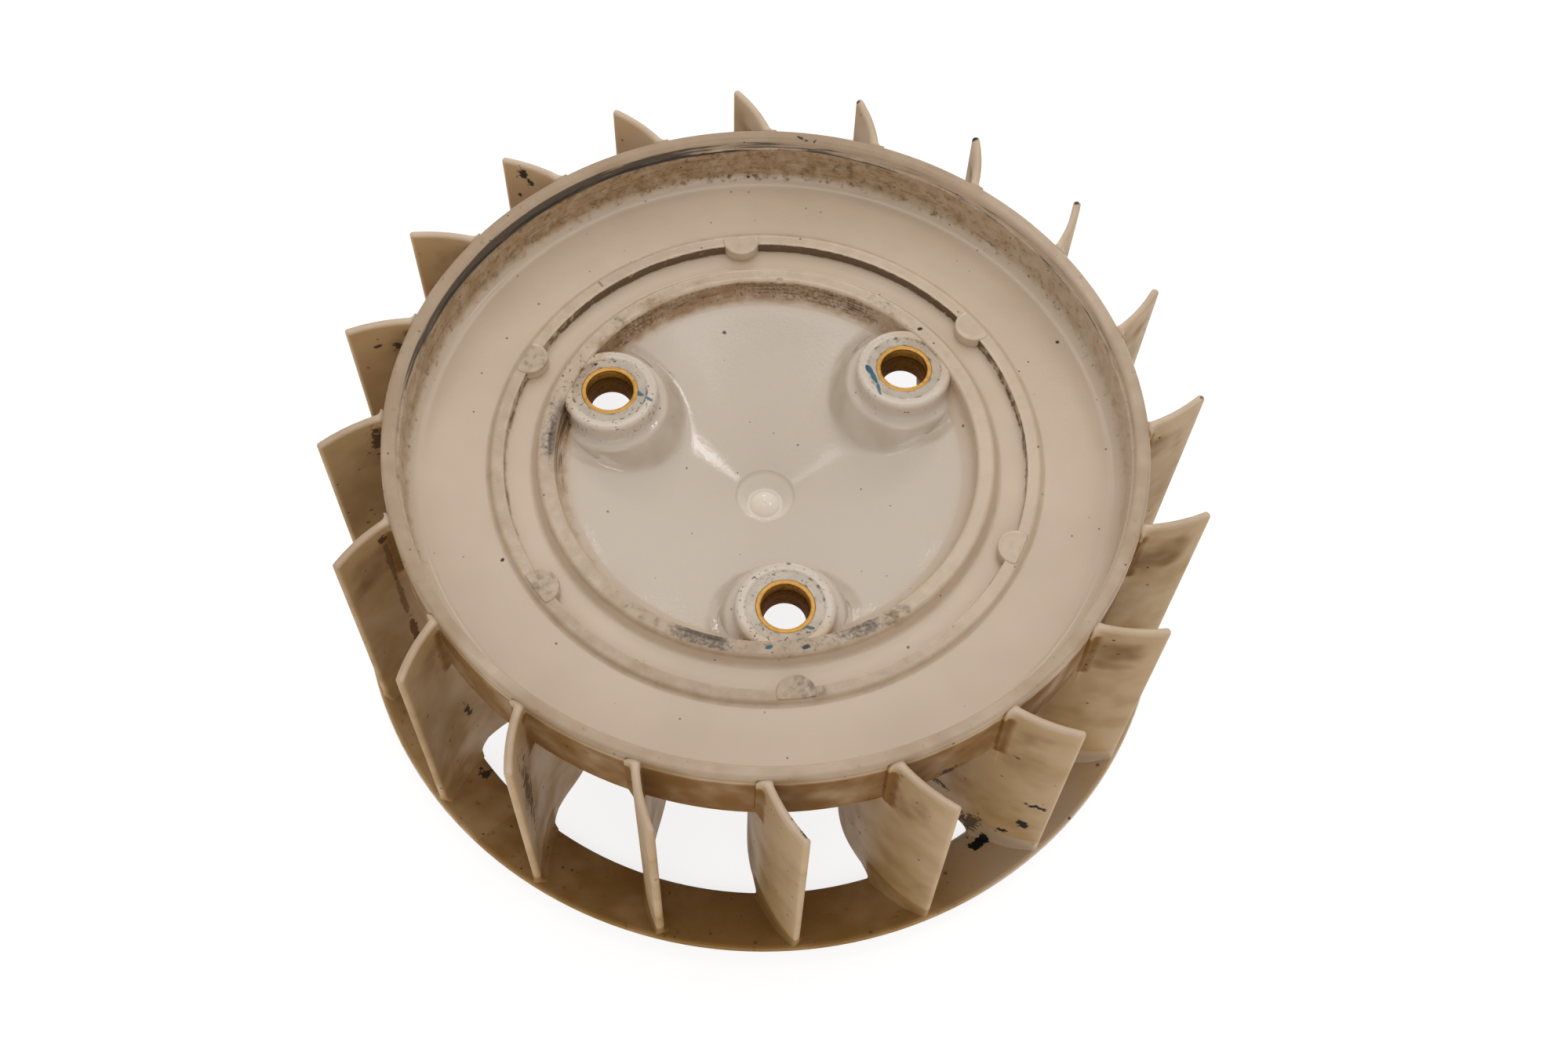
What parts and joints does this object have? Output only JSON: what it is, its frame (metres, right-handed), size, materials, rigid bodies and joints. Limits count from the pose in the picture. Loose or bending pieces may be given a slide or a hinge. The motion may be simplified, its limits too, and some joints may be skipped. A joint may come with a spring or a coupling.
{
  "type": "engine cooling fan wheel",
  "caption": "Radial cooling fan wheel for an air-cooled engine: curved blades around a shallow cup, a dished hub with brass-bushed bolt bosses, and a shroud ring",
  "frame": {"origin": "centre of the wheel axis, at the underside of the shroud ring on which the wheel lies", "axes": "+Z along the wheel axis to the side that faces the flywheel, +Y from the axis to the first bolt boss"},
  "size_m": [0.1348, 0.1348, 0.0504],
  "materials": {
    "nylon": "natural nylon, yellowed, half gloss, with ochre dust and dark rub marks",
    "brass": "turned brass, a little tarnished"
  },
  "bodies": {
    "root": {"fan_wheel": "nylon", "bush_1": "brass", "bush_2": "brass", "bush_3": "brass"}
  },
  "joints": []
}
